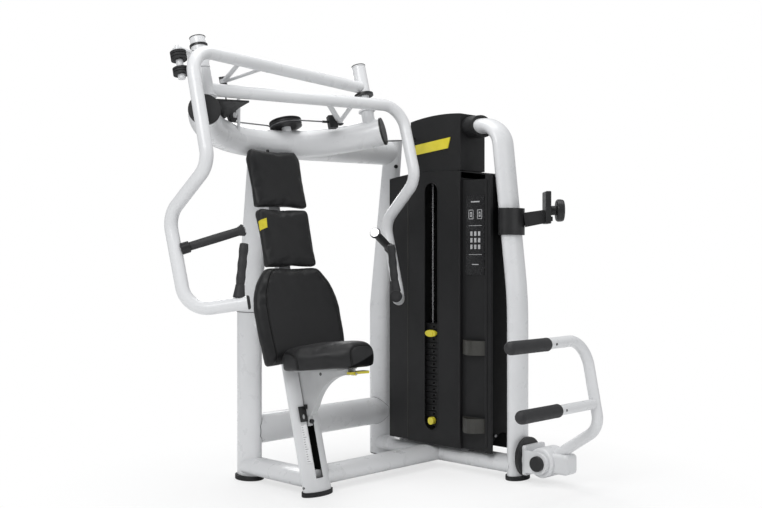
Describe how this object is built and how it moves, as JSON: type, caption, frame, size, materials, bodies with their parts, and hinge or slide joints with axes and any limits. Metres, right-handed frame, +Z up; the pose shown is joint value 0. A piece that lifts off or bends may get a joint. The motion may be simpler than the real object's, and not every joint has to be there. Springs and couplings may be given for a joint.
{
  "type": "chest press machine",
  "caption": "Seated chest press with a shrouded weight stack, twin swinging press levers, adjustable seat, back pads and an entry foot lever.",
  "frame": {"origin": "floor point under the foot of the seat post, on the user's middle plane", "axes": "+Z up, the seated person faces -Y, the weight tower is at +X, on the person's left"},
  "size_m": [1.3243, 1.0861, 1.5026],
  "materials": {
    "white_paint": "gloss powder coat",
    "grey_paint": "satin paint",
    "black_rubber": "matt moulded rubber",
    "black_plastic": "fine texture",
    "charcoal_shroud": "satin moulded shroud",
    "black_upholstery": "grained synthetic leather",
    "yellow_plastic": "gloss",
    "dark_print": "printed plate",
    "polished_steel": "polished",
    "plate_iron": "painted black"
  },
  "bodies": {
    "frame": {"base_frame": "white_paint", "beam_brackets": "grey_paint", "beam_caps": "black_plastic", "bottle_clips": "charcoal_shroud", "crossbeam": "white_paint", "floor_feet": "black_rubber", "foot_lever_mount": "grey_paint", "foot_lever_trim": "black_plastic", "guide_rods": "polished_steel", "head_badge": "yellow_plastic", "head_cap": "charcoal_shroud", "headrest_pad": "black_upholstery", "holder_clamp": "black_plastic", "holder_plate": "black_plastic", "instruction_plate": "dark_print", "lever_stops": "black_rubber", "lower_back_pad": "black_upholstery", "lower_cross_tube": "white_paint", "middle_back_pad": "black_upholstery", "pad_boards": "black_plastic", "pad_carrier": "grey_paint", "pivot_plates": "black_plastic", "pivot_posts": "white_paint", "rear_column": "white_paint", "seat_post": "white_paint", "stack_brackets": "grey_paint", "stack_buffers": "black_rubber", "steel_cables": "polished_steel", "tower_far_cover": "charcoal_shroud", "tower_front_column": "white_paint", "tower_front_cover": "charcoal_shroud", "tower_rear_column": "white_paint", "tower_side_cover": "charcoal_shroud", "weight_plates_resting": "plate_iron"},
    "right_lever": {"right_lever_tube": "white_paint", "right_cable_clevis": "grey_paint", "right_grip_rod": "polished_steel", "right_wide_grip": "black_rubber", "right_upright_grip": "black_rubber"},
    "left_lever": {"left_lever_tube": "white_paint", "left_cable_clevis": "grey_paint", "left_grip_rod": "polished_steel", "left_wide_grip": "black_rubber", "left_upright_grip": "black_rubber"},
    "weight_carriage": {"weight_plates_lifted": "plate_iron", "selector_rod": "polished_steel"},
    "selector": {"selector_pin": "yellow_plastic"},
    "increment": {"increment_knob": "yellow_plastic"},
    "drum": {"cable_drum": "black_plastic"},
    "guide": {"guide_pulley": "black_plastic"},
    "head_sheave": {"head_pulley": "black_plastic"},
    "turn_sheave": {"turn_pulley": "black_plastic"},
    "seat": {"seat_pad": "black_upholstery", "seat_carriage": "white_paint", "seat_lock_plate": "black_plastic"},
    "seat_release": {"seat_lever": "yellow_plastic"},
    "seat_pin": {"seat_lock_pin": "black_plastic"},
    "foot_arm": {"foot_lever": "white_paint", "foot_lever_grips": "black_rubber"},
    "device_knob": {"holder_knob": "black_plastic"}
  },
  "joints": [
    {"name": "right_lever_swing", "type": "hinge", "parent": "frame", "child": "right_lever", "pos_m": [0.361, 0.15812, 1.44015], "axis": [0, 0.2588, 0.9659], "range_deg": [0, 40]},
    {"name": "left_lever_swing", "type": "hinge", "parent": "frame", "child": "left_lever", "pos_m": [-0.361, 0.13276, 1.34549], "axis": [0, -0.2588, -0.9659], "range_deg": [0, 40]},
    {"name": "stack_lift", "type": "slide", "parent": "frame", "child": "weight_carriage", "axis": [0, 0, 1], "range_m": [0, 0.35], "deforming": ["steel_cables"]},
    {"name": "drum_turn", "type": "hinge", "parent": "frame", "child": "drum", "pos_m": [0.1, 0.27941, 1.26685], "axis": [0, 0.2588, 0.9659], "range_deg": [0, 300]},
    {"name": "guide_pulley_turn", "type": "hinge", "parent": "frame", "child": "guide", "pos_m": [-0.16869, 0.23908, 1.27162], "axis": [0.3405, -0.9319, -0.1249], "continuous": true},
    {"name": "head_pulley_turn", "type": "hinge", "parent": "frame", "child": "head_sheave", "pos_m": [0.66464, 0.05485, 1.2107], "axis": [-0.9862, -0.1658, 0], "continuous": true},
    {"name": "turn_pulley_turn", "type": "hinge", "parent": "frame", "child": "turn_sheave", "pos_m": [0.64148, 0.09485, 1.24128], "axis": [-0.1042, -0.0175, 0.9944], "continuous": true},
    {"name": "selector_pull", "type": "slide", "parent": "weight_carriage", "child": "selector", "axis": [-1, 0, 0], "range_m": [0, 0.06]},
    {"name": "increment_pull", "type": "slide", "parent": "frame", "child": "increment", "axis": [-1, 0, 0], "range_m": [0, 0.03]},
    {"name": "seat_height", "type": "slide", "parent": "frame", "child": "seat", "axis": [0, 0.2588, 0.9659], "range_m": [-0.17, 0]},
    {"name": "seat_release_lift", "type": "hinge", "parent": "seat", "child": "seat_release", "pos_m": [0, -0.172, 0.418], "axis": [0, -1, 0], "range_deg": [0, 8], "stiffness_Nm_per_rad": 2},
    {"name": "seat_pin_pull", "type": "slide", "parent": "seat", "child": "seat_pin", "axis": [0, -1, 0], "range_m": [0, 0.01]},
    {"name": "foot_lever_push", "type": "hinge", "parent": "frame", "child": "foot_arm", "pos_m": [0.682, -0.449, 0.076], "axis": [1, 0, 0], "range_deg": [0, 25], "stiffness_Nm_per_rad": 60, "springref_deg": -45.84},
    {"name": "holder_knob_turn", "type": "hinge", "parent": "frame", "child": "device_knob", "pos_m": [0.76056, -0.40015, 0.95807], "axis": [0.6976, -0.7165, 0], "continuous": true}
  ],
  "couplings": [
    {"joint": "left_lever_swing", "follows": "right_lever_swing", "ratio": 1},
    {"joint": "stack_lift", "follows": "right_lever_swing", "m_per_rad": 0.5},
    {"joint": "drum_turn", "follows": "right_lever_swing", "ratio": 7.5},
    {"joint": "seat_pin_pull", "follows": "seat_release_lift", "m_per_rad": 0.0716}
  ]
}
